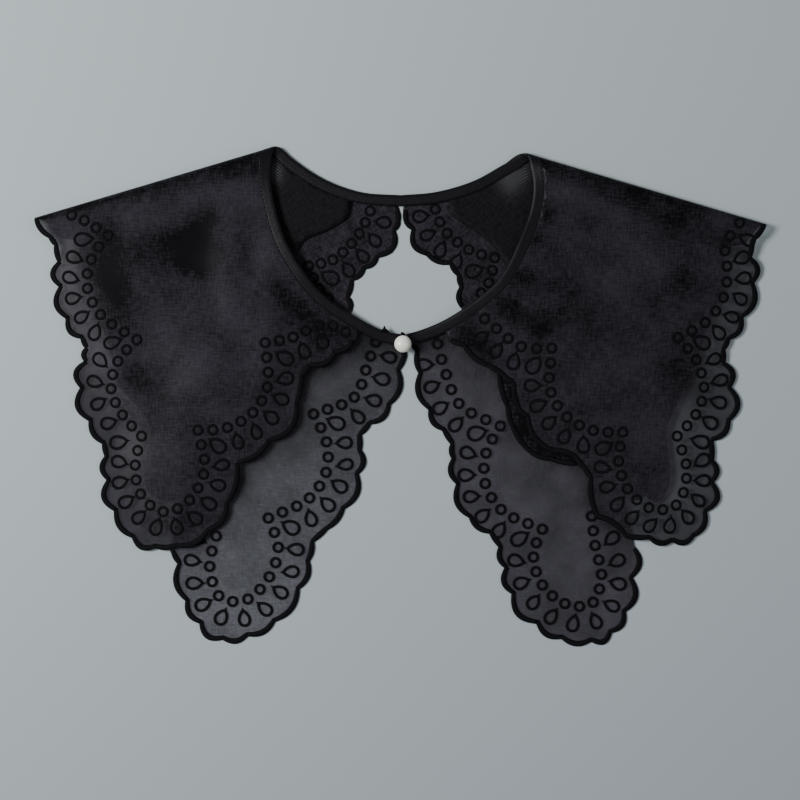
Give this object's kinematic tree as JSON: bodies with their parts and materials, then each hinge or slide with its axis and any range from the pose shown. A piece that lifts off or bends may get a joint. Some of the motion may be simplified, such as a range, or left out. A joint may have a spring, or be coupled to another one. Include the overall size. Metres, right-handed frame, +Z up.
{
  "type": "detachable embroidered organza collar",
  "caption": "Wide black lace collar laid flat: sheer embroidered organza tiers with scalloped hems, a satin-bound neck and a pearl button at the centre front.",
  "frame": {"origin": "middle of the laid collar in plan, on the surface it lies on", "axes": "+X towards the wearer's left, to the right in the picture; +Y towards the back neck; +Z up out of the surface"},
  "size_m": [0.4015, 0.2747, 0.0105],
  "materials": {
    "organza": "black sheer organza with satin-stitch embroidery",
    "lining": "black plain-weave lining",
    "satin": "black satin bias binding with stitch lines",
    "pearl": "cream pearl lustre"
  },
  "bodies": {
    "root": {"upper_left": "organza", "upper_right": "organza", "lining_left": "lining", "lining_right": "lining", "lower_left": "organza", "lower_right": "organza", "neck_binding": "satin", "pearl_button": "pearl"}
  },
  "joints": []
}
